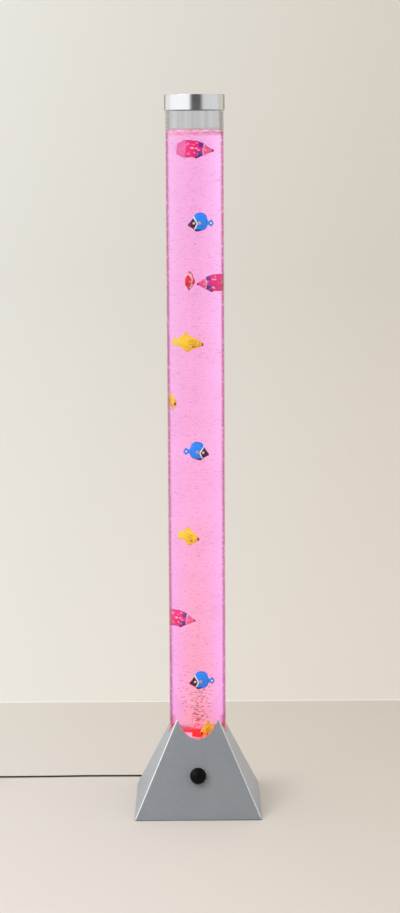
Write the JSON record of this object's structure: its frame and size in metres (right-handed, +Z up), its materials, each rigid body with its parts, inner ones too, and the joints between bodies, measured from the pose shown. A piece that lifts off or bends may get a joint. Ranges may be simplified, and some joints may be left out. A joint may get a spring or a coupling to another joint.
{
  "type": "bubble tube floor lamp",
  "caption": "Floor lamp: clear water column with floating fish and air bubbles, on a silver pyramid base with light, air pump and turning selector, under a lift-off cap.",
  "frame": {"origin": "middle of the base on the floor plane, under the tube's axis", "axes": "+Z up along the tube; the front face with the knob looks along -Y; +X to the right of someone facing the front"},
  "size_m": [0.621, 0.282, 1.25],
  "materials": {
    "silver_shell": "satin silver lacquer with fine flake",
    "black_plastic": "fine moulded grain",
    "screw_steel": "zinc plated",
    "black_rubber": "matt",
    "socket_plastic": "fine moulded grain",
    "white_foam": "soft closed-cell foam",
    "clear_acrylic": "clear and polished",
    "floor_acrylic": "clear, lit from below",
    "white_plastic": "smooth",
    "porous_stone": "porous, lit from below",
    "clear_hose": "soft and clear",
    "valve_plastic": "smooth",
    "pump_plastic": "fine moulded grain",
    "white_board": "white solder resist",
    "lamp_clear": "clear resin",
    "green_board": "green solder resist",
    "switch_metal": "die cast",
    "knob_plastic": "soft matt black",
    "cord_jacket": "smooth jacket",
    "red_lead": "smooth",
    "blue_lead": "smooth",
    "green_lead": "smooth",
    "tie_strap": "woven hook strap",
    "adapter_plastic": "fine moulded grain",
    "pin_metal": "nickel plated",
    "cap_metal": "polished, spun",
    "blue_fish": "painted",
    "pink_fish": "painted",
    "yellow_fish": "painted",
    "red_fish": "painted"
  },
  "bodies": {
    "lamp": {"base_shell": "silver_shell", "base_plate": "black_plastic", "plate_screws": "screw_steel", "rubber_feet": "black_rubber", "tube_socket": "socket_plastic", "socket_screws": "screw_steel", "tube_pad": "white_foam", "tube": "clear_acrylic", "tube_floor": "floor_acrylic", "air_nozzle": "white_plastic", "air_stone": "porous_stone", "nozzle_seal": "black_rubber", "nozzle_nut": "white_plastic", "air_hose": "clear_hose", "check_valve": "valve_plastic", "air_pump": "pump_plastic", "pump_mounts": "black_rubber", "led_board": "white_board", "led_lamps": "lamp_clear", "led_screws": "screw_steel", "control_board": "green_board", "board_screws": "screw_steel", "selector": "switch_metal", "selector_nut": "screw_steel", "cable_bushing": "cord_jacket", "supply_lead": "cord_jacket", "led_lead": "red_lead", "pump_lead": "blue_lead", "selector_lead": "green_lead", "cord": "cord_jacket", "cord_coil": "cord_jacket", "cord_tail": "cord_jacket", "cord_tie": "tie_strap", "adapter_case": "adapter_plastic", "adapter_lid": "adapter_plastic", "adapter_boot": "cord_jacket", "adapter_pins": "pin_metal"},
    "cap": {"cap": "cap_metal", "cap_seal": "white_foam"},
    "knob": {"knob": "knob_plastic", "selector_shaft": "screw_steel"},
    "blue_fish_1": {"blue_fish_1": "blue_fish"},
    "blue_fish_2": {"blue_fish_2": "blue_fish"},
    "blue_fish_3": {"blue_fish_3": "blue_fish"},
    "pink_fish_1": {"pink_fish_1": "pink_fish"},
    "pink_fish_2": {"pink_fish_2": "pink_fish"},
    "pink_fish_3": {"pink_fish_3": "pink_fish"},
    "yellow_fish_1": {"yellow_fish_1": "yellow_fish"},
    "yellow_fish_2": {"yellow_fish_2": "yellow_fish"},
    "yellow_fish_3": {"yellow_fish_3": "yellow_fish"},
    "yellow_fish_4": {"yellow_fish_4": "yellow_fish"},
    "red_fish": {"red_fish": "red_fish"}
  },
  "joints": [
    {"name": "cap_lift", "type": "slide", "parent": "lamp", "child": "cap", "axis": [0, 0, 1], "range_m": [0, 0.12]},
    {"name": "knob_turn", "type": "hinge", "parent": "lamp", "child": "knob", "pos_m": [0, -0.07938, 0.07], "axis": [0, -0.908, 0.4191], "range_deg": [0, 270]},
    {"name": "blue_fish_1_float", "type": "slide", "parent": "lamp", "child": "blue_fish_1", "axis": [0, 0, 1], "range_m": [-0.066, 0.132]},
    {"name": "blue_fish_2_float", "type": "slide", "parent": "lamp", "child": "blue_fish_2", "axis": [0, 0, 1], "range_m": [-0.118, 0.26]},
    {"name": "blue_fish_3_float", "type": "slide", "parent": "lamp", "child": "blue_fish_3", "axis": [0, 0, 1], "range_m": [-0.059, 0.221]},
    {"name": "pink_fish_1_float", "type": "slide", "parent": "lamp", "child": "pink_fish_1", "axis": [0, 0, 1], "range_m": [-1.02, 0.009]},
    {"name": "pink_fish_2_float", "type": "slide", "parent": "lamp", "child": "pink_fish_2", "axis": [0, 0, 1], "range_m": [-0.068, 0.238]},
    {"name": "pink_fish_3_float", "type": "slide", "parent": "lamp", "child": "pink_fish_3", "axis": [0, 0, 1], "range_m": [-0.181, 0.117]},
    {"name": "yellow_fish_1_float", "type": "slide", "parent": "lamp", "child": "yellow_fish_1", "axis": [0, 0, 1], "range_m": [-0.069, 0.068]},
    {"name": "yellow_fish_2_float", "type": "slide", "parent": "lamp", "child": "yellow_fish_2", "axis": [0, 0, 1], "range_m": [-0.353, 0.069]},
    {"name": "yellow_fish_3_float", "type": "slide", "parent": "lamp", "child": "yellow_fish_3", "axis": [0, 0, 1], "range_m": [-0.117, 0.118]},
    {"name": "yellow_fish_4_float", "type": "slide", "parent": "lamp", "child": "yellow_fish_4", "axis": [0, 0, 1], "range_m": [0, 0.059]},
    {"name": "red_fish_float", "type": "slide", "parent": "lamp", "child": "red_fish", "axis": [0, 0, 1], "range_m": [-0.072, 0.066]}
  ]
}
